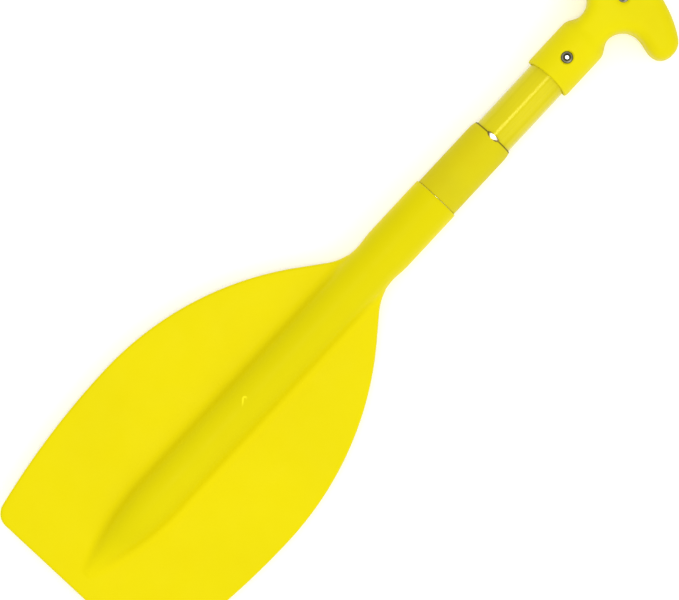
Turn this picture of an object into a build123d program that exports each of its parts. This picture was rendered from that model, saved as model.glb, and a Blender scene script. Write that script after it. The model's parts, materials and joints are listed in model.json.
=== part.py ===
from build123d import *
import math
import os

# A telescoping paddle: a moulded blade, two aluminium tubes that slide and twist-lock, and a T-grip.
# Sizes are in mm. Stations run along the shaft from the mouth of the blade's socket (0), + towards the
# grip. Shapes are built about the shaft's axis, with the blade in the XY plane, and are placed at the end.

# ---- overall ----
tip_station = -320.0
crown_station = 181.5
neck_radius = 15.4
shift_x = -(tip_station + crown_station) / 2
axis_height = neck_radius
margin = 5.0
drill_reach = axis_height + margin

# ---- blade plate ----
blade_half_width = 75.4
widest_station = -211.0
side_radius = 497.0
shoulder_radius = 200.0
shoulder_angle = 38.2
root_straight = 17.8
root_radius = 33.0
root_angle = 34.8
tip_corner_radius = 10.0
plate_thick_centre = 4.8
plate_thick_edge = 3.0
plate_edge_round = 1.3

# ---- blade spine and socket ----
spine_radius = 15.2
spine_taper_station = -242.0
spine_taper_length = 66.0
spine_end_radius = 1.0
waist_station = -54.0
waist_radius = 14.5
waist_half_length = 9.0
neck_station = -42.0
spine_root_fillet = 4.0
mouth_round = 0.5
bore_end_station = -252.0
bore_cone_length = 12.0
bore_cone_radius = 8.0

# ---- tubes ----
inner_tube_radius = 12.7
inner_tube_wall = 1.0
middle_tube_wall = 0.75
tube_clearance = 0.15
middle_tube_bore = inner_tube_radius + tube_clearance
middle_tube_radius = middle_tube_bore + middle_tube_wall
blade_bore = middle_tube_radius + tube_clearance
middle_bottom_station = -236.0
middle_top_station = 47.2
inner_bottom_station = -198.0
inner_top_station = 128.0

# ---- collar ----
collar_radius = 14.4
collar_station = 0.1
collar_end_station = 49.8
collar_nose_station = 43.0
collar_nose_radius = 13.35
collar_lip_station = 47.4
collar_lip_bore = 13.0
collar_notch_depth = 2.2
key_half_width = 4.4
key_end_round = 1.1
key_fit = 0.2

# ---- twist locks ----
plug_fit = 0.05
plug_length = 20.0
flange_thick = 2.5
flange_inset = 0.2
journal_length = 10.0
journal_clearance = 0.55
journal_offset = 0.6
ring_wall = 4.45
ring_gap = 0.3
ring_slot = 2.0
washer_thick = 1.2
washer_inset = 2.4
lock_screw_radius = 2.0
lock_screw_reach = 12.0
lock_screw_head_radius = 4.0
lock_screw_head_height = 2.4
drive_width = 0.9
drive_length = 4.4
pin_radius = 1.5
pin_inset = 8.0
pin_end_gap = 0.05

# ---- float plug ----
float_plug_station = 40.0
float_plug_length = 60.0

# ---- T-grip ----
grip_socket_station = 97.0
grip_socket_end = 127.5
grip_socket_radius = 15.3
grip_mouth_dip = 2.0
grip_mouth_radius = 14.1
grip_mouth_round = 3.2
grip_stem_station = 140.0
grip_stem_radius = 10.9
grip_wall = 2.5
head_half_thick = 15.2
head_throat_thick = 13.6
head_throat_station = 130.0
head_full_station = 157.0
head_edge_round = 7.4
head_wall = 3.2
crook_radius = 12.5
arm_end_radius = 8.5
arm_end_station = 158.5
arm_end_offset = 37.0
crown_radius = 70.0
crown_end_offset = 40.5
grip_tube_gap = 0.05

# ---- rivets ----
rivet_radius = 1.95
rivet_bore = 1.15
rivet_head_radius = 3.95
rivet_head_height = 1.4
rivet_blind_radius = 3.0
rivet_blind_length = 4.0
rivet_blind_round = 1.2
rivet_recess_radius = 4.3
mandrel_radius = 1.1
mandrel_head_radius = 1.8
mandrel_head_length = 1.6
mandrel_head_round = 0.8
mandrel_below_dome = 0.4
tube_rivet_station = 114.1
tube_rivet_seat = 13.9
grip_rivet_station = 163.5
grip_rivet_seat = 13.8
grip_rivet_back_seat = 8.0
grip_boss_radius = 5.6
peg_offset = 26.0
peg_station = 165.0
peg_radius = 1.6
peg_boss_radius = 3.6
peg_length = 4.0
peg_fit = 0.1
peg_end_gap = 0.5


def rod(radius, start, end):
    """Round bar on the shaft's axis between two stations."""
    bar = Cylinder(radius, end - start, align=(Align.CENTER, Align.CENTER, Align.MIN))
    return Pos(start, 0, 0) * Rot(0, 90, 0) * bar


def tube(outer, inner, start, end):
    return rod(outer, start, end) - rod(inner, start - 1, end + 1)


def upright(radius, station, offset, low, high):
    """Round bar along Z, from low to high, at a station and a distance to the side."""
    bar = Cylinder(radius, high - low, align=(Align.CENTER, Align.CENTER, Align.MIN))
    return Pos(station, offset, low) * bar


def turned(edges):
    """Solid turned about the shaft's axis from an outline drawn above it in the XY plane."""
    start, end = edges[0] @ 0, edges[-1] @ 1
    closing = Polyline(end, (end.X, 0), (start.X, 0), start)
    return revolve(make_face(list(edges) + list(closing.edges())), Axis.X)


def drilled(radius, station, offset=0.0):
    """Cutter for a hole that goes right through along Z."""
    return upright(radius, station, offset, -drill_reach, drill_reach)


def gabled_end(station, depth, radius):
    """Everything on the blade side of a station. Its end slopes by a depth, from the sides of a sleeve
    of that radius to the sleeve's front and back."""
    reach = 2 * radius
    slope_end = station + depth * reach / radius
    outline = Polyline((tip_station, -reach), (slope_end, -reach), (station, 0), (slope_end, reach),
                       (tip_station, reach), (tip_station, -reach))
    return extrude(Plane.XZ * make_face(outline), reach, both=True)


# ---------------------------------------------------------------- blade
def blade_outline():
    """Half outline from the tip's middle, round the widest place, to the root beside the socket."""
    peak = (widest_station, blade_half_width)
    tip_angle = math.degrees(math.asin((widest_station - tip_station) / side_radius))
    side = JernArc(peak, (-1, 0), side_radius, tip_angle)
    shoulder = JernArc(peak, (1, 0), shoulder_radius, -shoulder_angle)
    root_line = Line(shoulder @ 1, shoulder @ 1 + (shoulder % 1) * root_straight)
    root_arc = JernArc(root_line @ 1, root_line % 1, root_radius, root_angle)
    tip = Line((tip_station, 0), side @ 1)
    inner_corner = (waist_station - 2 * waist_half_length, spine_radius / 2)
    inner = Polyline(root_arc @ 1, inner_corner, (inner_corner[0], 0))
    return [tip, side, shoulder, root_line, root_arc] + list(inner.edges())


def blade_plate():
    """Flat plate, thickest beside the spine and thinner towards its rounded edges."""
    half = blade_outline()
    closing = Line(half[-1] @ 1, (tip_station, 0))
    face = make_face(half + [closing])
    face = face + mirror(face, Plane.XZ)
    corners = face.vertices().group_by(Axis.X)[0]
    face = fillet(corners, tip_corner_radius)
    slab = extrude(face, plate_thick_centre, both=True)
    centre, edge = plate_thick_centre / 2, plate_thick_edge / 2
    wide = blade_half_width + margin
    section = Plane.YZ * Polygon(
        (-wide, -edge), (0, -centre), (wide, -edge), (wide, edge), (0, centre), (-wide, edge), align=None)
    wedge = Pos(tip_station - margin, 0, 0) * extrude(section, -tip_station)
    plate = slab & wedge
    rim = [e for e in plate.edges() if e.length > 1 and is_rim(e)]
    return fillet(rim, plate_edge_round)


def is_rim(edge):
    """True for the edges round the plate's two faces, away from its middle line and the spine."""
    middle = edge @ 0.5
    inside_spine = middle.X > waist_station - 2 * waist_half_length and abs(middle.Y) < spine_radius
    return abs(middle.Z) > plate_thick_edge / 4 and abs(middle.Y) > 1 and not inside_spine


def spine_body():
    """Spine, pointed at its blade end, and the socket's neck, divided from it by a shallow waist."""
    taper_end = (spine_taper_station - spine_taper_length, spine_end_radius)
    taper_start = (spine_taper_station, spine_radius)
    before_waist = (waist_station - waist_half_length, spine_radius)
    waist = (waist_station, waist_radius)
    neck = (neck_station, neck_radius)
    taper_drop = spine_radius - spine_end_radius
    taper_radius = (spine_taper_length**2 + taper_drop**2) / (2 * taper_drop)
    taper_angle = math.degrees(math.asin(spine_taper_length / taper_radius))
    taper = JernArc(taper_start, (-1, 0), taper_radius, taper_angle)
    ease_in = Spline(before_waist, waist, tangents=[(1, 0), (1, 0)])
    ease_out = Spline(waist, neck, tangents=[(1, 0), (1, 0)])
    outline = [
        Line((taper_end[0], 0), taper @ 1),
        taper,
        Line(taper_start, before_waist),
        ease_in,
        ease_out,
        Line(neck, (0, neck_radius)),
        Line((0, neck_radius), (0, 0)),
        Line((0, 0), (taper_end[0], 0)),
    ]
    body = revolve(make_face(outline), Axis.X)
    return fillet(body.edges().sort_by(Axis.X)[-1], mouth_round)


def blade_bore_space():
    """Space that the middle tube slides in, with a cone at its blind end."""
    cone = Cone(blade_bore, bore_cone_radius, bore_cone_length,
                align=(Align.CENTER, Align.CENTER, Align.MIN))
    return rod(blade_bore, bore_end_station, 1) + Pos(bore_end_station, 0, 0) * Rot(0, -90, 0) * cone


def is_spine_root(edge):
    """True for the edges where the plate's two faces meet the spine."""
    middle = edge @ 0.5
    on_plate_face = abs(middle.Z) < plate_thick_centre / 2 + 0.1
    on_spine = math.hypot(middle.Y, middle.Z) < spine_radius + 0.1
    return edge.length > spine_taper_length / 2 and on_plate_face and on_spine and middle.X < waist_station


def blade():
    body = blade_plate() + spine_body()
    body = fillet([e for e in body.edges() if is_spine_root(e)], spine_root_fillet)
    return body - blade_bore_space()


# ---------------------------------------------------------------- tubes and collar
def key_prism(half_width, end_round):
    """Cutter along Z for the tongues that key the collar to the tube, with an oval end."""
    length = collar_end_station - middle_top_station + margin
    block = Pos(collar_end_station - length / 2, 0, 0) * Box(length, 2 * half_width, 2 * drill_reach)
    oval = extrude(Pos(collar_end_station, 0) * Ellipse(end_round, half_width), drill_reach, both=True)
    return block + oval


def middle_tube():
    """Tube with a tongue at the front and back of its upper end."""
    key_end_station = collar_end_station + key_end_round
    body = tube(middle_tube_radius, middle_tube_bore, middle_bottom_station, key_end_station)
    beside_keys = rod(2 * middle_tube_radius, middle_top_station, key_end_station + 1)
    body -= beside_keys - key_prism(key_half_width, key_end_round)
    return body - drilled(pin_radius, middle_bottom_station + pin_inset)


def inner_tube():
    body = tube(inner_tube_radius, inner_tube_radius - inner_tube_wall, inner_bottom_station,
                inner_top_station)
    body -= drilled(rivet_radius, tube_rivet_station)
    return body - drilled(pin_radius, inner_bottom_station + pin_inset)


def collar():
    """Grip sleeve on the middle tube. Its rounded nose covers the tube's end, with a lip inside it and
    a notch at the front and back that shows the tube's tongues."""
    nose_start = (collar_nose_station, collar_radius)
    nose_end = (collar_end_station, collar_nose_radius)
    outline = [
        Line((collar_station, collar_radius), nose_start),
        Spline(nose_start, nose_end, tangents=[(1, 0), (1, -0.45)]),
    ]
    body = turned(outline)
    body = fillet(body.edges().sort_by(Axis.X)[0], mouth_round)
    notch_half_width = key_half_width + key_fit
    keyway = rod(middle_tube_radius, collar_lip_station, collar_end_station + 1)
    body -= rod(middle_tube_radius, -1, collar_lip_station)
    body -= rod(collar_lip_bore, -1, collar_end_station + 1)
    body -= keyway & key_prism(notch_half_width, key_end_round)
    notch = Pos(collar_end_station, 0) * Ellipse(collar_notch_depth, notch_half_width)
    return body - extrude(notch, drill_reach, both=True)


def float_plug():
    """Foam plug inside the inner tube, which keeps the paddle afloat."""
    radius = inner_tube_radius - inner_tube_wall - plug_fit
    return rod(radius, float_plug_station, float_plug_station + float_plug_length)


# ---------------------------------------------------------------- twist locks
def lock_plug(tube_radius, tube_bore, bottom):
    """Plug inside a tube's lower end, with a flange and an off-centre journal below it."""
    body = rod(tube_bore - plug_fit, bottom, bottom + plug_length)
    body += rod(tube_radius - flange_inset, bottom - flange_thick, bottom)
    journal_end = bottom - flange_thick - journal_length
    journal = rod(journal_radius(tube_radius), journal_end, bottom - flange_thick)
    body += Pos(0, 0, journal_offset) * journal
    body -= rod(lock_screw_radius, journal_end - 1, bottom)
    return body - drilled(pin_radius, bottom + pin_inset)


def ring_radius(tube_radius):
    """Outer radius of a cam ring, which runs in the bore just outside the tube."""
    return tube_radius + tube_clearance - ring_gap


def journal_radius(tube_radius):
    return ring_radius(tube_radius) - ring_wall - journal_clearance


def cam_ring(tube_radius, bottom):
    """Split ring that the journal spreads against the bore when the tube is twisted."""
    high = bottom - flange_thick - ring_gap
    low = bottom - flange_thick - journal_length + ring_gap
    hole = rod(journal_radius(tube_radius) + journal_clearance, low - 1, high + 1)
    ring = rod(ring_radius(tube_radius), low, high) - Pos(0, 0, journal_offset) * hole
    slot = Pos((low + high) / 2, 0, -tube_radius / 2) * Box(high - low + 2, ring_slot, tube_radius)
    return ring - slot


def lock_washer(tube_radius, bottom):
    top = bottom - flange_thick - journal_length
    return tube(tube_radius - washer_inset, lock_screw_radius, top - washer_thick, top)


def lock_screw(bottom):
    seat = bottom - flange_thick - journal_length - washer_thick
    shank = rod(lock_screw_radius, seat, seat + lock_screw_reach)
    head = rod(lock_screw_head_radius, seat - lock_screw_head_height, seat)
    head = fillet(head.edges().sort_by(Axis.X)[0], lock_screw_head_height / 2)
    slot = Box(lock_screw_head_height, drive_width, drive_length)
    cross = slot + Rot(90, 0, 0) * slot
    return shank + head - Pos(seat - lock_screw_head_height, 0, 0) * cross


def plug_pin(tube_radius, bottom):
    half_length = tube_radius - pin_end_gap
    return upright(pin_radius, bottom + pin_inset, 0, -half_length, half_length)


# ---------------------------------------------------------------- T-grip
def head_outline(inset):
    """Plan of the T's head and throat: a broad crown, drooping arms and a crook for the fingers.
    An inset draws the same outline that much further in."""
    stem = grip_stem_radius - inset
    crook = crook_radius + inset
    arm_end = arm_end_radius - inset
    crown = crown_radius - inset
    throat = head_throat_station
    crook_side = (grip_stem_station + crook, stem + crook)
    arm_inside = (arm_end_station - arm_end, arm_end_offset)
    arm_outside = (arm_end_station, arm_end_offset + arm_end)
    crown_angle = math.asin(crown_end_offset / crown_radius)
    crown_centre = crown_station - crown_radius
    crown_end = (crown_centre + crown * math.cos(crown_angle), crown * math.sin(crown_angle))
    crown_heading = (math.sin(crown_angle), -math.cos(crown_angle))
    half = [
        Line((throat, 0), (throat, stem)),
        Line((throat, stem), (grip_stem_station, stem)),
        JernArc((grip_stem_station, stem), (1, 0), crook, 90),
        Spline(crook_side, arm_inside, tangents=[(0, 1), (0, 1)]),
        JernArc(arm_inside, (0, 1), arm_end, -90),
        Spline(arm_outside, crown_end, tangents=[(1, 0), crown_heading]),
        JernArc(crown_end, crown_heading, crown, -math.degrees(crown_angle)),
        Line((crown_station - inset, 0), (throat, 0)),
    ]
    face = make_face(half)
    return face + mirror(face, Plane.XZ)


def grip_head(inset, rounding):
    """Head of the grip, thin at the throat and full in the arms; inset gives the hollow inside it."""
    plan = head_outline(inset)
    throat, full = head_throat_thick - inset, head_half_thick - inset
    start, end = head_throat_station, crown_station + margin
    upper = Spline((start, throat), (head_full_station, full), tangents=[(1, 0), (1, 0)])
    lower = Spline((head_full_station, -full), (start, -throat), tangents=[(-1, 0), (-1, 0)])
    side = make_face([
        upper,
        Line((head_full_station, full), (end, full)),
        Line((end, full), (end, -full)),
        Line((end, -full), (head_full_station, -full)),
        lower,
        Line((start, -throat), (start, throat)),
    ])
    slab = extrude(plan, 2 * head_half_thick, both=True)
    band = extrude(Plane.XZ * side, 2 * arm_end_offset, both=True)
    head = slab & band
    rim = [e for e in head.edges() if abs((e @ 0.5).Z) > 1 and not is_throat(e, inset)]
    return fillet(rim, rounding) if rounding > 0 else head


def is_throat(edge, inset):
    return abs((edge @ 0.5).X - head_throat_station) < inset + 0.5


def grip_socket():
    """Round socket that narrows to the stem, with its mouth hollowed at the front and back."""
    narrow_start = (grip_socket_end, grip_socket_radius)
    stem_start = (grip_stem_station, grip_stem_radius)
    mouth = (grip_socket_station, grip_mouth_radius)
    mouth_end = (grip_socket_station + grip_mouth_round, grip_socket_radius)
    body = turned([
        Spline(mouth, mouth_end, tangents=[(0.3, 1), (1, 0)]),
        Line(mouth_end, narrow_start),
        Spline(narrow_start, stem_start, tangents=[(1, 0), (1, 0)]),
        Line(stem_start, (head_full_station, grip_stem_radius)),
    ])
    return body - gabled_end(grip_socket_station, grip_mouth_dip, grip_socket_radius)


def grip_hollow():
    """Space inside the grip: the tube's bore, the stem's bore and the hollow head."""
    bore = rod(inner_tube_radius + grip_tube_gap, grip_socket_station - margin, inner_top_station)
    stem = rod(grip_stem_radius - grip_wall, inner_top_station - 1, head_full_station)
    return bore + stem + grip_head(head_wall, 0)


def grip_bosses():
    """Posts inside the head: one for the long rivet and two for the locating pegs."""
    height = head_half_thick - grip_wall / 2
    posts = upright(grip_boss_radius, grip_rivet_station, 0, -height, height)
    for side in (-1, 1):
        posts += upright(peg_boss_radius, peg_station, side * peg_offset, -height, height)
    return posts


def grip():
    """Both halves of the grip as one, drilled and recessed for the rivets."""
    body = grip_socket() + grip_head(0, head_edge_round) - grip_hollow() + grip_bosses()
    body -= drilled(rivet_radius, tube_rivet_station)
    body -= drilled(rivet_radius, grip_rivet_station)
    body -= upright(rivet_recess_radius, tube_rivet_station, 0, tube_rivet_seat, drill_reach)
    body -= upright(rivet_recess_radius, tube_rivet_station, 0, -drill_reach, -tube_rivet_seat)
    body -= upright(rivet_recess_radius, grip_rivet_station, 0, grip_rivet_seat, drill_reach)
    return body - upright(rivet_recess_radius, grip_rivet_station, 0, -drill_reach, -grip_rivet_back_seat)


def handle_front():
    """Front half, with the two pegs that locate the back half."""
    half = split(grip(), Plane.XY, keep=Keep.TOP)
    for side in (-1, 1):
        half += upright(peg_radius, peg_station, side * peg_offset, -peg_length, 1)
    return half


def handle_back():
    half = split(grip(), Plane.XY, keep=Keep.BOTTOM)
    for side in (-1, 1):
        half -= upright(peg_radius + peg_fit, peg_station, side * peg_offset, -peg_length - peg_end_gap, 1)
    return half


# ---------------------------------------------------------------- rivets
def blind_rivet(seat, grip_length):
    """Blind rivet along Z with its domed head on the seat and its upset end beyond the grip length."""
    half = rivet_head_radius
    crown = (half**2 + rivet_head_height**2) / (2 * rivet_head_height)
    dome = Pos(0, 0, seat + rivet_head_height - crown) * Sphere(crown)
    head = upright(half, 0, 0, seat, seat + rivet_head_height) & dome
    blind_top = seat - grip_length
    shank = upright(rivet_radius, 0, 0, blind_top - 1, seat)
    blind = upright(rivet_blind_radius, 0, 0, blind_top - rivet_blind_length, blind_top)
    blind = fillet(blind.edges(), rivet_blind_round)
    bore = upright(rivet_bore, 0, 0, blind_top - rivet_blind_length - 1, seat + margin)
    return head + shank + blind - bore


def rivet_mandrel(seat, grip_length):
    """Steel stem left in a blind rivet, snapped off just below the top of the dome."""
    low = seat - grip_length - rivet_blind_length
    stem = upright(mandrel_radius, 0, 0, low, seat + rivet_head_height - mandrel_below_dome)
    head = upright(mandrel_head_radius, 0, 0, low - mandrel_head_length, low)
    return stem + fillet(head.edges().sort_by(Axis.Z)[0], mandrel_head_round)


def tube_rivet_grip():
    """Thickness that a tube rivet holds, to the inside of the curved tube wall at the rivet's edge."""
    bore = inner_tube_radius - inner_tube_wall
    return tube_rivet_seat - math.sqrt(bore**2 - rivet_blind_radius**2)


def front_and_back(shape):
    """The shape at the tube rivets' station, and the same shape turned to the back."""
    placed = Pos(tube_rivet_station, 0, 0) * shape
    return Compound([placed, Rot(180, 0, 0) * placed])


def tube_rivets():
    return front_and_back(blind_rivet(tube_rivet_seat, tube_rivet_grip()))


def tube_rivet_mandrels():
    return front_and_back(rivet_mandrel(tube_rivet_seat, tube_rivet_grip()))


def grip_rivet_length():
    return grip_rivet_seat + grip_rivet_back_seat


def grip_rivet():
    return Pos(grip_rivet_station, 0, 0) * blind_rivet(grip_rivet_seat, grip_rivet_length())


def grip_rivet_mandrel():
    return Pos(grip_rivet_station, 0, 0) * rivet_mandrel(grip_rivet_seat, grip_rivet_length())


# ---------------------------------------------------------------- output
def all_parts():
    middle = (middle_tube_radius, middle_bottom_station)
    inner = (inner_tube_radius, inner_bottom_station)
    inner_bore = inner_tube_radius - inner_tube_wall
    return {
        "blade": blade(),
        "middle_cam_ring": cam_ring(*middle),
        "middle_tube": middle_tube(),
        "collar": collar(),
        "middle_lock_plug": lock_plug(middle_tube_radius, middle_tube_bore, middle_bottom_station),
        "middle_lock_washer": lock_washer(*middle),
        "middle_lock_screw": lock_screw(middle_bottom_station),
        "middle_plug_pin": plug_pin(*middle),
        "inner_cam_ring": cam_ring(*inner),
        "inner_tube": inner_tube(),
        "inner_lock_plug": lock_plug(inner_tube_radius, inner_bore, inner_bottom_station),
        "inner_lock_washer": lock_washer(*inner),
        "inner_lock_screw": lock_screw(inner_bottom_station),
        "inner_plug_pin": plug_pin(*inner),
        "float_plug": float_plug(),
        "handle_front": handle_front(),
        "handle_back": handle_back(),
        "tube_rivets": tube_rivets(),
        "tube_rivet_mandrels": tube_rivet_mandrels(),
        "grip_rivet": grip_rivet(),
        "grip_rivet_mandrel": grip_rivet_mandrel(),
    }


os.makedirs("parts", exist_ok=True)
for name, shape in all_parts().items():
    export_step(Pos(shift_x, 0, axis_height) * shape, f"parts/{name}.step")
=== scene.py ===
import json
import math

import bmesh
import bpy
import numpy as np
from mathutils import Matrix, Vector


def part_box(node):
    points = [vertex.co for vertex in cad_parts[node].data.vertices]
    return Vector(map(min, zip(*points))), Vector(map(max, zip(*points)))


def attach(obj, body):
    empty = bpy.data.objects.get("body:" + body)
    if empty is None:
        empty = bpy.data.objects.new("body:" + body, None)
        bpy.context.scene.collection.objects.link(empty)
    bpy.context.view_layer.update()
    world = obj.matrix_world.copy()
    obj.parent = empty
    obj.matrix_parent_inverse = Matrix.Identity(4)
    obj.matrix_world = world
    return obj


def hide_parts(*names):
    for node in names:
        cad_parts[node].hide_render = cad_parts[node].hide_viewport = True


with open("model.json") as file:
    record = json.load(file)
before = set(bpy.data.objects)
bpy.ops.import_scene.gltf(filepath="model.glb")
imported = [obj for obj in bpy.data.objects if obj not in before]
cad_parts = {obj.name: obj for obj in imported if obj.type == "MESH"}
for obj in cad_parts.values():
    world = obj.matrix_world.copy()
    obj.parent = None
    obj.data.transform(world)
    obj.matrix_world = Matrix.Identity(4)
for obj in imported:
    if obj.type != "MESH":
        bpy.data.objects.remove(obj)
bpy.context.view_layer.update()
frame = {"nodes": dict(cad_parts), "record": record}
MM = 0.001

# ---------------------------------------------------------------- places taken from the frame
blade_low, blade_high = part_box("blade")
MOUTH_X = blade_high.x
TIP_X = blade_low.x
AXIS_Z = (blade_low.z + blade_high.z) / 2
NECK_R = (blade_high.z - blade_low.z) / 2
HALF_WIDTH = blade_high.y


def middle_of(node):
    """X of the middle of a CAD node."""
    low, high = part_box(node)
    return (low.x + high.x) / 2


def station(mm):
    """X in metres of a station counted in mm from the socket's mouth, + towards the grip."""
    return MOUTH_X + mm * MM


# ---------------------------------------------------------------- camera, lights and floor
VIEW_TURN = math.radians(-47.08)
VIEW_CENTRE = (station(-84.3), 0.0008)
VIEW_DISTANCE = 2.4
VIEW_WIDTH = 0.4074
SENSOR = 36.0
FLOOR_HALF = 3.0


def add_camera():
    """Camera that looks straight down, turned to the photographed angle of the shaft."""
    data = bpy.data.cameras.new("camera")
    data.sensor_width = SENSOR
    data.lens = SENSOR * VIEW_DISTANCE / VIEW_WIDTH
    data.clip_end = 20
    camera = bpy.data.objects.new("camera", data)
    camera.location = (VIEW_CENTRE[0], VIEW_CENTRE[1], AXIS_Z + VIEW_DISTANCE)
    camera.rotation_euler = (0, 0, VIEW_TURN)
    bpy.context.scene.collection.objects.link(camera)
    bpy.context.scene.camera = camera


def image_direction(right, up):
    """Direction over the floor that points that far right and up in the camera's view."""
    c, s = math.cos(VIEW_TURN), math.sin(VIEW_TURN)
    return Vector((right * c - up * s, right * s + up * c, 0))


def add_light(name, right, up, height, size, power):
    """A round soft light that hangs that far right, up and above the middle of the camera's view."""
    data = bpy.data.lights.new(name, "AREA")
    data.shape = "DISK"
    data.size = size
    data.energy = power
    light = bpy.data.objects.new(name, data)
    target = Vector((VIEW_CENTRE[0], VIEW_CENTRE[1], AXIS_Z))
    light.location = target + image_direction(right, up) + Vector((0, 0, height))
    light.rotation_euler = (target - light.location).to_track_quat("-Z", "Y").to_euler()
    bpy.context.scene.collection.objects.link(light)


def add_studio():
    world = bpy.data.worlds.new("studio")
    world.use_nodes = True
    background = world.node_tree.nodes["Background"]
    background.inputs["Color"].default_value = (1.0, 1.0, 1.0, 1)
    background.inputs["Strength"].default_value = 0.83
    bpy.context.scene.world = world
    add_light("overhead", -0.05, 0.03, 2.7, 0.95, 20)
    add_light("side", 1.1, -1.0, 1.5, 1.8, 9)
    bpy.context.scene.view_settings.view_transform = "Standard"
    mesh = bpy.data.meshes.new("floor")
    side = FLOOR_HALF
    corners = [(-side, -side, 0), (side, -side, 0), (side, side, 0), (-side, side, 0)]
    mesh.from_pydata(corners, [], [(0, 1, 2, 3)])
    floor = bpy.data.objects.new("floor", mesh)
    floor.data.materials.append(floor_material())
    bpy.context.scene.collection.objects.link(floor)


# ---------------------------------------------------------------- materials
class Shader:
    """A material with one Principled shader and the nodes that feed it, in object coordinates."""

    def __init__(self, name):
        self.material = bpy.data.materials.new(name)
        self.material.use_nodes = True
        self.tree = self.material.node_tree
        self.principled = self.tree.nodes["Principled BSDF"]
        self.coordinates = self.node("ShaderNodeTexCoord").outputs["Object"]

    def node(self, kind, **settings):
        node = self.tree.nodes.new(kind)
        for key, value in settings.items():
            setattr(node, key, value)
        return node

    def link(self, source, target):
        self.tree.links.new(source, target)

    def put(self, **values):
        for key, value in values.items():
            self.principled.inputs[key.replace("_", " ")].default_value = value

    def stretched(self, scale):
        mapping = self.node("ShaderNodeMapping")
        mapping.inputs["Scale"].default_value = scale
        self.link(self.coordinates, mapping.inputs["Vector"])
        return mapping.outputs["Vector"]

    def noise(self, scale, detail=3.0, vector=None):
        noise = self.node("ShaderNodeTexNoise")
        noise.inputs["Scale"].default_value = scale
        noise.inputs["Detail"].default_value = detail
        self.link(vector or self.coordinates, noise.inputs["Vector"])
        return noise.outputs["Fac"]

    def ramp(self, value, *stops):
        ramp = self.node("ShaderNodeValToRGB")
        for i, (place, colour) in enumerate(stops):
            element = ramp.color_ramp.elements[i] if i < 2 else ramp.color_ramp.elements.new(place)
            element.position = place
            element.color = (*colour, 1)
        self.link(value, ramp.inputs["Fac"])
        return ramp.outputs["Color"]

    def span(self, value, low, high, from_low=0.3, from_high=0.7):
        span = self.node("ShaderNodeMapRange")
        span.inputs["From Min"].default_value = from_low
        span.inputs["From Max"].default_value = from_high
        span.inputs["To Min"].default_value = low
        span.inputs["To Max"].default_value = high
        self.link(value, span.inputs["Value"])
        return span.outputs["Result"]

    def mix(self, factor, first, second, blend="MIX"):
        mix = self.node("ShaderNodeMix", data_type="RGBA", blend_type=blend)
        if isinstance(factor, float):
            mix.inputs["Factor"].default_value = factor
        else:
            self.link(factor, mix.inputs["Factor"])
        for socket, value in (("A", first), ("B", second)):
            target = [s for s in mix.inputs if s.name == socket and s.type == "RGBA"][0]
            if isinstance(value, tuple):
                target.default_value = (*value, 1)
            else:
                self.link(value, target)
        return [s for s in mix.outputs if s.type == "RGBA"][0]

    def math(self, operation, first, second=None):
        node = self.node("ShaderNodeMath", operation=operation)
        for socket, value in zip(node.inputs, (first, second)):
            if isinstance(value, float):
                socket.default_value = value
            elif value is not None:
                self.link(value, socket)
        return node.outputs["Value"]

    def axes(self):
        separate = self.node("ShaderNodeSeparateXYZ")
        self.link(self.coordinates, separate.inputs["Vector"])
        return [separate.outputs[axis] for axis in "XYZ"]

    def length(self, x, y):
        """Length of the vector with these two components."""
        combine = self.node("ShaderNodeCombineXYZ")
        self.link(x, combine.inputs["X"])
        self.link(y, combine.inputs["Y"])
        length = self.node("ShaderNodeVectorMath", operation="LENGTH")
        self.link(combine.outputs["Vector"], length.inputs["Vector"])
        return length.outputs["Value"]

    def bump(self, height, distance, normal=None):
        bump = self.node("ShaderNodeBump")
        bump.inputs["Distance"].default_value = distance
        bump.inputs["Strength"].default_value = 1.0
        self.link(height, bump.inputs["Height"])
        if normal is not None:
            self.link(normal, bump.inputs["Normal"])
        return bump.outputs["Normal"]

    def finish(self, colour, roughness=None, normal=None):
        self.link(colour, self.principled.inputs["Base Color"])
        if roughness is not None:
            self.link(roughness, self.principled.inputs["Roughness"])
        if normal is not None:
            self.link(normal, self.principled.inputs["Normal"])
        return self.material


GATE_X = station(-165.9)
GATE_Y = 2.0 * MM
GATE_R = 1.2 * MM
GATE_LINE = 0.45 * MM
GATE_LEG = 4.6 * MM
GATE_RISE = 0.2 * MM
GATE_SLANT = 1.7
TONGUE_END = 1.1 * MM
TONGUE_HALF = 4.4 * MM
NOTCH_DEPTH = 2.2 * MM
NOTCH_FADE = 0.3 * MM
COLLAR_MOUTH_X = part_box("collar")[1].x
# painted shade: how far the dark band at the collar's mouth reaches
GAP_SHADE_REACH = 1.0 * MM
GAP_SHADE_FULL = 0.4 * MM
RIVET_HEAD_R = 4.0 * MM
PLATE_TOP = 2.6 * MM
SPINE_FLANK = 11 * MM


def moulded_yellow(name, light, deep, warm, rough=(0.38, 0.5), details=None):
    """Moulded safety-yellow plastic: cloudy colour, a fine grain and slow unevenness from cooling.
    The details function adds what only one part has."""
    shader = Shader(name)
    cloud = shader.noise(16, detail=4)
    patches = shader.noise(45, detail=3)
    colour = shader.ramp(cloud, (0.36, deep), (0.62, light))
    tint = shader.ramp(patches, (0.5, (1, 1, 1)), (0.72, warm))
    colour = shader.mix(0.55, colour, tint, blend="MULTIPLY")
    if details is not None:
        colour = details(shader, colour)
    roughness = shader.span(shader.noise(60, detail=5), *rough)
    waves = shader.bump(shader.noise(38, detail=1), 0.2 * MM)
    normal = shader.bump(shader.noise(1800, detail=2), 0.03 * MM, normal=waves)
    shader.put(Specular_IOR_Level=0.08, Specular_Tint=(1.0, 0.92, 0.35, 1))
    return shader.finish(colour, roughness, normal)


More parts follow.
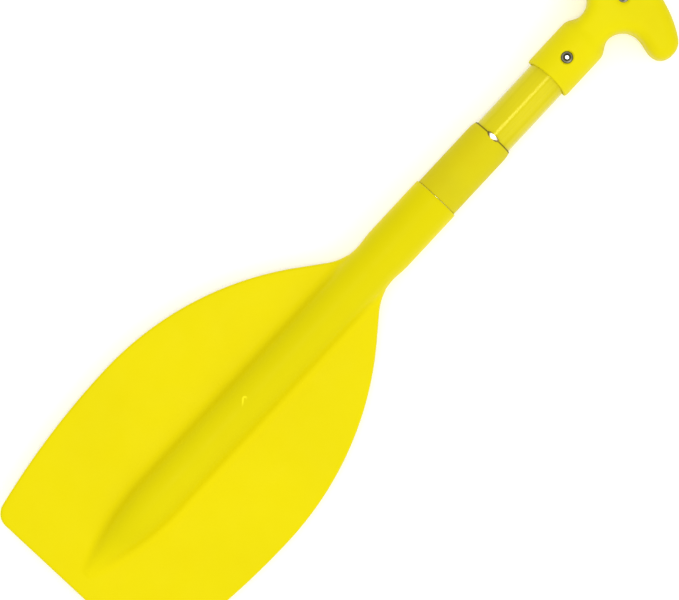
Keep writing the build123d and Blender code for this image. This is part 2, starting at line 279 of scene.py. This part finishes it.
def blade_details(shader, colour):
    """A painted shade on the spine and neck: the colour deepens with height above the plate, standing in
    for the spine's shade.
    And a painted highlight along the gate mark, a hook with one long leg."""
    x, y, z = shader.axes()
    above = shader.math("ABSOLUTE", shader.math("SUBTRACT", z, AXIS_Z))
    # painted shade: the spine and neck darken with their height above the plate
    spine_painted_shade = shader.ramp(shader.span(above, 0, 1, PLATE_TOP, SPINE_FLANK),
                         (0, (1, 1, 1)), (1, (0.89, 0.91, 1)))
    colour = shader.mix(1.0, colour, spine_painted_shade, blend="MULTIPLY")
    down, across = image_direction(0, -1), image_direction(1, 0)
    from_x, from_y = shader.math("SUBTRACT", x, GATE_X), shader.math("SUBTRACT", y, GATE_Y)
    a, b = [shader.math("ADD", shader.math("MULTIPLY", from_x, way.x),
                        shader.math("MULTIPLY", from_y, way.y))
            for way in (down, across)]
    from_arch = shader.math("SUBTRACT", shader.length(shader.math("MINIMUM", a, 0.0), b), GATE_R)
    line = shader.span(shader.math("ABSOLUTE", from_arch), 1, 0, GATE_LINE, 1.8 * GATE_LINE)
    run = shader.math("ADD", a, shader.math("MULTIPLY", b, GATE_SLANT))
    faded = shader.span(run, 1, 0, -0.5 * MM, GATE_LEG - GATE_SLANT * GATE_R)
    above = shader.span(z, 0, 1, AXIS_Z, AXIS_Z + PLATE_TOP)
    gate_painted_highlight = shader.math("MULTIPLY", shader.math("MULTIPLY", line, faded), above)
    # painted highlight: a paler yellow stroke along the gate mark stands in for its glint
    return shader.mix(gate_painted_highlight, colour, (0.84, 0.75, 0.012))


def collar_gap_shade(shader, colour):
    """Painted shade round the collar's mouth: a dark band in its last millimetre, for the shadow of the
    gap where a tube slides in and out.
    """
    reach = shader.span(shader.axes()[0], 0, 1, COLLAR_MOUTH_X - GAP_SHADE_REACH, COLLAR_MOUTH_X - GAP_SHADE_FULL)
    # painted shade: the dark band for the gap's shadow at the collar's mouth
    return shader.mix(reach, colour, (0.13, 0.1, 0.01))


def coated_tube():
    """Glossy yellow powder coat, with the faint lines that sliding leaves along the tube."""
    shader = Shader("yellow_coated_tube")
    along = shader.stretched((4, 500, 500))
    lines = shader.noise(1.0, detail=4, vector=along)
    cloud = shader.noise(22, detail=3)
    colour = shader.ramp(cloud, (0.35, (0.61, 0.535, 0.006)), (0.65, (0.65, 0.565, 0.008)))
    tint = shader.ramp(lines, (0.4, (0.93, 0.93, 0.9)), (0.55, (1, 1, 1)))
    colour = shader.mix(0.6, colour, tint, blend="MULTIPLY")
    roughness = shader.span(lines, 0.17, 0.11)
    normal = shader.bump(shader.noise(700, detail=2), 0.02 * MM)
    shader.put(Specular_IOR_Level=0.42, Specular_Tint=(1.0, 0.9, 0.22, 1))
    return shader.finish(colour, roughness, normal)


def plated_steel():
    """Bright zinc plating, slightly uneven."""
    shader = Shader("zinc_plated_steel")
    marks = shader.noise(300, detail=5)
    colour = shader.ramp(marks, (0.35, (0.46, 0.47, 0.49)), (0.65, (0.64, 0.65, 0.66)))
    roughness = shader.span(marks, 0.22, 0.36)
    normal = shader.bump(marks, 0.01 * MM)
    shader.put(Metallic=1.0)
    return shader.finish(colour, roughness, normal)


def bare_tube():
    """Drawn bare aluminium with marks along the tube, and a painted shade round the end of its tongues: a
    dark edge round a pale core.
    """
    shader = Shader("bare_aluminium")
    marks = shader.noise(120, detail=5, vector=shader.stretched((0.3, 10, 10)))
    colour = shader.ramp(marks, (0.35, (0.74, 0.73, 0.7)), (0.65, (0.86, 0.85, 0.81)))
    x, y, _ = shader.axes()
    past_collar = shader.math("SUBTRACT", x, COLLAR_MOUTH_X)
    outwards = shader.math("MAXIMUM", shader.math("DIVIDE", past_collar, TONGUE_END), 0.0)
    inwards = shader.math("MAXIMUM", shader.math("DIVIDE", past_collar, -NOTCH_DEPTH), 0.0)
    from_middle = shader.length(shader.math("ADD", outwards, inwards),
                                shader.math("DIVIDE", y, TONGUE_HALF))
    at_tongue = shader.span(past_collar, 0, 1, -NOTCH_DEPTH - NOTCH_FADE, -NOTCH_DEPTH)
    # painted shade: the dark outer stop is the shadow round the tongue's end at the collar
    rings = shader.ramp(shader.span(from_middle, 0, 1, 0.4, 1),
                        (0, (0.86, 0.83, 0.72)), (0.3, (0.84, 0.8, 0.6)), (0.62, (0.2, 0.15, 0.03)))
    colour = shader.mix(at_tongue, colour, rings)
    roughness = shader.span(marks, 0.18, 0.3)
    normal = shader.bump(marks, 0.01 * MM)
    shader.put(Metallic=1.0)
    return shader.finish(colour, roughness, normal)


def rivet_painted_light():
    """Aluminium rivet with painted light on its dome: painted shade round the stem and at its rim, a
    painted highlight in a ring between.
    """
    shader = Shader("rivet_aluminium")
    x, y, _ = shader.axes()
    near_tube_rivet, near_grip_rivet = [
        shader.math("ABSOLUTE", shader.math("SUBTRACT", x, middle_of(node)))
        for node in ("tube_rivets", "grip_rivet")]
    along = shader.math("MINIMUM", near_tube_rivet, near_grip_rivet)
    radius = shader.span(shader.length(along, y), 0, 1, 0, RIVET_HEAD_R)
    rivet_shade, grey, rivet_highlight = (0.05, 0.045, 0.02), (0.12, 0.115, 0.07), (0.34, 0.32, 0.24)
    # painted light: dark rings for shade round the stem and at the rim, a pale ring for the dome's
    # highlight
    rings = shader.ramp(radius, (0.3, rivet_shade), (0.48, rivet_shade), (0.58, grey),
                        (0.72, rivet_highlight), (0.84, grey), (0.93, rivet_shade))
    marks = shader.noise(500, detail=4)
    scuffs = shader.ramp(marks, (0.35, (0.6, 0.6, 0.6)), (0.6, (1, 1, 1)))
    colour = shader.mix(0.6, rings, scuffs, blend="MULTIPLY")
    roughness = shader.span(marks, 0.2, 0.34)
    normal = shader.bump(marks, 0.02 * MM)
    shader.put(Metallic=1.0)
    return shader.finish(colour, roughness, normal)


def nylon():
    """Off-white nylon of the lock's plugs and rings."""
    shader = Shader("white_nylon")
    cloud = shader.noise(120, detail=3)
    colour = shader.ramp(cloud, (0.35, (0.74, 0.73, 0.66)), (0.65, (0.82, 0.81, 0.75)))
    roughness = shader.span(shader.noise(500), 0.4, 0.55)
    normal = shader.bump(shader.noise(2500), 0.02 * MM)
    shader.put(Specular_IOR_Level=0.4)
    return shader.finish(colour, roughness, normal)


def foam():
    """Closed-cell foam with small round cells."""
    shader = Shader("grey_foam")
    cells = shader.node("ShaderNodeTexVoronoi")
    cells.inputs["Scale"].default_value = 1400
    shader.link(shader.coordinates, cells.inputs["Vector"])
    colour = shader.ramp(cells.outputs["Distance"],
                         (0.0, (0.10, 0.105, 0.11)), (0.6, (0.20, 0.205, 0.21)))
    roughness = shader.span(shader.noise(300), 0.85, 0.95)
    normal = shader.bump(cells.outputs["Distance"], 0.2 * MM)
    return shader.finish(colour, roughness, normal)


def floor_material():
    """Matt white paper that glows a little, so that it stays white round the object."""
    shader = Shader("pale_floor")
    cloud = shader.noise(3, detail=2)
    colour = shader.ramp(cloud, (0.3, (0.93, 0.93, 0.93)), (0.7, (0.95, 0.95, 0.95)))
    shader.put(Roughness=0.7, Specular_IOR_Level=0.1, Emission_Color=(1, 1, 1, 1), Emission_Strength=0.14)
    return shader.finish(colour)


def make_materials():
    return {
        "yellow_blade_plastic": moulded_yellow(
            "yellow_blade_plastic", (0.755, 0.645, 0.0015), (0.735, 0.628, 0.0015), (1.0, 0.98, 0.9),
            details=blade_details),
        "yellow_grip_plastic": moulded_yellow(
            "yellow_grip_plastic", (0.73, 0.64, 0.003), (0.69, 0.595, 0.004), (1.0, 0.96, 0.9)),
        "yellow_collar_plastic": moulded_yellow(
            "yellow_collar_plastic", (0.62, 0.54, 0.007), (0.57, 0.50, 0.01), (1.0, 0.94, 0.9),
            rough=(0.45, 0.6), details=collar_gap_shade),
        "yellow_coated_tube": coated_tube(),
        "bare_aluminium": bare_tube(),
        "rivet_aluminium": rivet_painted_light(),
        "zinc_plated_steel": plated_steel(),
        "white_nylon": nylon(),
        "grey_foam": foam(),
    }


materials = make_materials()


def dress_cad_nodes():
    """Gives every CAD node the material of its slot in the record."""
    for entry in frame["record"]["subparts"]:
        node = frame["nodes"][entry["node"]]
        node.data.materials.clear()
        node.data.materials.append(materials[entry["material_slot"]])


# ---------------------------------------------------------------- blade
PLATE_CENTRE = 2.4 * MM
PLATE_EDGE = 1.5 * MM
EDGE_ROUND = 1.5 * MM
WIDEST_X = station(-211)
SIDE_R = 497 * MM
SHOULDER_R = 200 * MM
SHOULDER_ANGLE = math.radians(38.2)
ROOT_STRAIGHT = 17.8 * MM
ROOT_R = 33 * MM
TIP_CORNER_R = 10 * MM
SPINE_R = 15.2 * MM
SPINE_TAPER_X = station(-242)
SPINE_TAPER = 66 * MM
SPINE_END_R = 1.0 * MM
PLATE_END_X = station(-61)
WAIST_X = station(-54)
WAIST_R = 14.5 * MM
WAIST_HALF = 9 * MM
NECK_X = station(-42)
ROOT_BLEND = 4.5 * MM
BORE_R = 13.75 * MM
BORE_END_X = station(-252)
BORE_CONE = 12 * MM
BORE_CONE_R = 8 * MM
MOUTH_ROUND = 0.5 * MM


def circle_height(radius, offset):
    return np.sqrt(np.maximum(radius**2 - offset**2, 0))


def outline_width(x):
    """Half width of the blade's plate at x, from the tip's straight edge to the root beside the spine."""
    x = np.asarray(x, float)
    side_y = HALF_WIDTH - SIDE_R
    corner_x = TIP_X + TIP_CORNER_R
    corner_y = side_y + math.sqrt((SIDE_R - TIP_CORNER_R)**2 - (corner_x - WIDEST_X)**2)
    tangent_x = WIDEST_X + (corner_x - WIDEST_X) * SIDE_R / (SIDE_R - TIP_CORNER_R)
    corner = corner_y + circle_height(TIP_CORNER_R, x - corner_x)
    side = side_y + circle_height(SIDE_R, x - WIDEST_X)
    shoulder = HALF_WIDTH - SHOULDER_R + circle_height(SHOULDER_R, x - WIDEST_X)
    line_x = WIDEST_X + SHOULDER_R * math.sin(SHOULDER_ANGLE)
    line_y = HALF_WIDTH - SHOULDER_R * (1 - math.cos(SHOULDER_ANGLE))
    line = line_y - (x - line_x) * math.tan(SHOULDER_ANGLE)
    root_x = line_x + ROOT_STRAIGHT * math.cos(SHOULDER_ANGLE)
    root_y = line_y - ROOT_STRAIGHT * math.sin(SHOULDER_ANGLE)
    centre_x = root_x + ROOT_R * math.sin(SHOULDER_ANGLE)
    centre_y = root_y + ROOT_R * math.cos(SHOULDER_ANGLE)
    root = centre_y - circle_height(ROOT_R, x - centre_x)
    places = [x < tangent_x, x < WIDEST_X, x < line_x, x < root_x, x < centre_x]
    return np.select(places, [corner, side, shoulder, line, root], default=centre_y - ROOT_R)


def smooth_step(value):
    value = np.clip(value, 0, 1)
    return value * value * (3 - 2 * value)


def body_radius(x):
    """Radius of the spine and the socket's neck at x."""
    drop = SPINE_R - SPINE_END_R
    taper_r = (SPINE_TAPER**2 + drop**2) / (2 * drop)
    taper = SPINE_R - taper_r + circle_height(taper_r, np.minimum(x - SPINE_TAPER_X, 0))
    down = smooth_step((x - (WAIST_X - WAIST_HALF)) / WAIST_HALF)
    up = smooth_step((x - WAIST_X) / (NECK_X - WAIST_X))
    radius = taper + (WAIST_R - SPINE_R) * down + (NECK_R - WAIST_R) * up
    past_taper = SPINE_TAPER_X - SPINE_TAPER - x
    return np.where(past_taper > 0, -1 * MM - past_taper * 0.5, radius)


def outline_distance(x, y):
    """Distance of each point to the plate's outline."""
    along = TIP_X + (WAIST_X - TIP_X) * (1 - np.cos(np.linspace(0, math.pi / 2, 500)))
    edge = np.stack([along, outline_width(along)], 1)
    tip = np.stack([np.full(60, TIP_X), np.linspace(0, edge[0, 1], 60)], 1)
    edge = np.concatenate([tip, edge])
    points = np.stack([x.ravel(), y.ravel()], 1)
    start, step = edge[:-1], edge[1:] - edge[:-1]
    nearest = np.full(len(points), 1.0)
    for a, d in zip(start, step):
        share = np.clip(((points - a) @ d) / max(d @ d, 1e-15), 0, 1)
        gap = points - a - share[:, None] * d
        nearest = np.minimum(nearest, np.hypot(gap[:, 0], gap[:, 1]))
    return nearest.reshape(x.shape)


def blended_height(radius, y, plate):
    """Height where the spine and the plate meet in a smooth root, found by halving the interval."""
    low, high = np.zeros_like(y), np.full_like(y, SPINE_R + ROOT_BLEND)
    for _ in range(32):
        z = (low + high) / 2
        spine = np.hypot(y, z) - radius
        flat = z - plate
        reach = np.maximum(ROOT_BLEND - np.abs(spine - flat), 0) / ROOT_BLEND
        inside = np.minimum(spine, flat) - reach * reach * ROOT_BLEND / 4 < 0
        low, high = np.where(inside, z, low), np.where(inside, high, z)
    return low


def blade_stations():
    """X of each cross-section, close together at the tip, the gate mark, the waist and the mouth."""
    tip = TIP_X + EDGE_ROUND * (1 - np.cos(np.linspace(0, math.pi / 2, 8)))
    corner = TIP_X + np.linspace(EDGE_ROUND, TIP_CORNER_R, 14)[1:]
    plate = np.arange(corner[-1] + 1.2 * MM, GATE_X - 6 * MM, 1.2 * MM)
    gate = np.linspace(GATE_X - 5.5 * MM, GATE_X + 2.5 * MM, 33)
    middle = np.arange(GATE_X + 3 * MM, PLATE_END_X - 3 * MM, 1.0 * MM)
    waist = np.linspace(PLATE_END_X - 2.4 * MM, NECK_X, 32)
    neck = np.linspace(NECK_X + 2 * MM, MOUTH_X - MOUTH_ROUND, 20)
    return np.concatenate([tip, corner, plate, gate, middle, waist, neck])


def section_offsets(width, radius):
    """Distances from the middle at which one half cross-section is sampled."""
    round_part = max(radius, 4 * MM)
    spine_end = min(round_part * math.sin(math.radians(62)), width - 2.5 * EDGE_ROUND)
    share = np.linspace(0, 1, 36)**1.3
    spine = np.sin(share * math.asin(min(spine_end / round_part, 1))) * round_part
    share = np.linspace(0, 1, 30)[1:]
    plate = spine_end + (width - EDGE_ROUND - spine_end) * share**1.35
    edge = width - EDGE_ROUND * (1 - np.sin(np.linspace(0, math.pi / 2, 9)[1:]))
    return np.concatenate([spine, plate, edge])


def ring_of(x, y, z):
    """Closed cross-section from a half one: over the front, then back under the rear face."""
    top = [(x, a, b) for a, b in zip(y[::-1], z[::-1])]
    top += [(x, -a, b) for a, b in zip(y[1:], z[1:])]
    under = [(x, -a, -b) for a, b in zip(y[-2::-1], z[-2::-1])]
    under += [(x, a, -b) for a, b in zip(y[1:-1], z[1:-1])]
    return top + under


def tube_mesh(name, rings):
    """Mesh through rings of equal count, closed at both ends."""
    count = len(rings[0])
    verts = [(x, y, z + AXIS_Z) for ring in rings for x, y, z in ring]
    faces = []
    for i in range(len(rings) - 1):
        for k in range(count):
            a, b = i * count + k, i * count + (k + 1) % count
            faces.append((a, b, b + count, a + count))
    faces.append(tuple(range((len(rings) - 1) * count, len(rings) * count)))
    mesh = bpy.data.meshes.new(name)
    mesh.from_pydata(verts, [], faces)
    work = bmesh.new()
    work.from_mesh(mesh)
    bmesh.ops.remove_doubles(work, verts=work.verts, dist=1e-6)
    bmesh.ops.recalc_face_normals(work, faces=work.faces)
    work.to_mesh(mesh)
    work.free()
    mesh.polygons.foreach_set("use_smooth", [True] * len(mesh.polygons))
    piece = bpy.data.objects.new(name, mesh)
    bpy.context.scene.collection.objects.link(piece)
    return piece


def gated(ring):
    """The cross-section with the gate mark raised on the spine's front: an arch with one long leg."""
    down, across = image_direction(0, -1), image_direction(1, 0)
    result = []
    for x, y, z in ring:
        from_gate = Vector((x - GATE_X, y - GATE_Y, 0))
        a, b = from_gate.dot(down), from_gate.dot(across)
        from_arch = abs(math.hypot(min(a, 0), b) - GATE_R)
        line = smooth_step(2 - from_arch / GATE_LINE)
        faded = smooth_step((GATE_LEG - GATE_SLANT * (GATE_R + b) - a) / GATE_LEG)
        if z > 0:
            z += float(line * faded) * GATE_RISE
        result.append((x, y, z))
    return result


def build_blade():
    """Blade with its spine, waist, neck and bore as one closed shell."""
    xs = blade_stations()
    widths = np.maximum(outline_width(xs), body_radius(xs))
    widths = np.where(xs > PLATE_END_X, body_radius(xs), widths)
    offsets = np.array([section_offsets(w, r) for w, r in zip(widths, body_radius(xs))])
    x = np.repeat(xs[:, None], offsets.shape[1], 1)
    radius = body_radius(x)
    plate = PLATE_CENTRE + (PLATE_EDGE - PLATE_CENTRE) * offsets / HALF_WIDTH
    blended = blended_height(radius, offsets, plate)
    rise = np.clip(outline_distance(x, offsets) / EDGE_ROUND, 0, 1)
    edge = np.sqrt(1 - (1 - rise)**2)
    round_body = np.where(radius > 0, circle_height(np.maximum(radius, 0), offsets), 0)
    height = np.maximum(blended * edge, round_body)
    height = np.where(x > PLATE_END_X, round_body, height)
    height[:, -1] = 0
    rings = [gated(ring_of(xi, yi, zi)) for xi, yi, zi in zip(xs, offsets, height)]
    angles = np.arcsin(np.clip(offsets[-1] / NECK_R, 0, 1))

    def circle(px, r):
        return ring_of(px, r * np.sin(angles), r * np.cos(angles))

    cone_x = BORE_END_X - BORE_CONE
    profile = [(MOUTH_X - 0.12 * MM, NECK_R - 0.18 * MM), (MOUTH_X, NECK_R - 0.55 * MM),
               (MOUTH_X, BORE_R + 0.3 * MM), (MOUTH_X - 0.3 * MM, BORE_R), (MOUTH_X - 1 * MM, BORE_R)]
    profile += [(px, BORE_R) for px in np.linspace(MOUTH_X - 8 * MM, BORE_END_X, 12)]
    profile += [(cone_x, BORE_CONE_R)]
    rings += [circle(px, r) for px, r in profile]
    piece = tube_mesh("blade_moulding", rings)
    piece.data.materials.append(materials["yellow_blade_plastic"])
    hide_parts("blade")
    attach(piece, "blade")


# ---------------------------------------------------------------- T-grip
GRIP_VOXEL = 0.5 * MM
THROAT = (station(121), station(130), station(156), station(168))


def throat_weight(x):
    """1 where the stem swells into the T's head, fading to 0 on both sides."""
    low, full, fading, high = THROAT
    return smooth_step((x - low) / (full - low)) * smooth_step((high - x) / (high - fading))


def softened(node, name, slot_name):
    """A copy of a moulded CAD node with the small round edges and blended throat of a real moulding."""
    source = frame["nodes"][node]
    mesh = source.data.copy()
    mesh.transform(source.matrix_world)
    piece = bpy.data.objects.new(name, mesh)
    bpy.context.scene.collection.objects.link(piece)
    remesh = piece.modifiers.new("remesh", "REMESH")
    remesh.mode = "VOXEL"
    remesh.voxel_size = GRIP_VOXEL
    bake(piece)
    throat = piece.vertex_groups.new(name="throat")
    for vertex in piece.data.vertices:
        weight = float(throat_weight(vertex.co.x))
        if weight > 0 and abs(vertex.co.z - AXIS_Z) > 1 * MM:
            throat.add([vertex.index], weight, "REPLACE")
    for group, rounds in (("", 5), ("throat", 90)):
        smooth = piece.modifiers.new("smooth", "SMOOTH")
        smooth.factor = 0.5
        smooth.iterations = rounds
        smooth.vertex_group = group
    thin = piece.modifiers.new("thin", "DECIMATE")
    thin.ratio = 0.35
    bake(piece)
    piece.data.polygons.foreach_set("use_smooth", [True] * len(piece.data.polygons))
    piece.data.materials.clear()
    piece.data.materials.append(materials[slot_name])
    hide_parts(node)
    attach(piece, "grip_section")


def bake(piece):
    """Applies the piece's modifiers to its mesh."""
    evaluated = piece.evaluated_get(bpy.context.evaluated_depsgraph_get())
    mesh = bpy.data.meshes.new_from_object(evaluated)
    piece.modifiers.clear()
    piece.data = mesh


# ---------------------------------------------------------------- build
add_camera()
add_studio()
dress_cad_nodes()
build_blade()
softened("handle_front", "grip_moulding_front", "yellow_grip_plastic")
softened("handle_back", "grip_moulding_back", "yellow_grip_plastic")
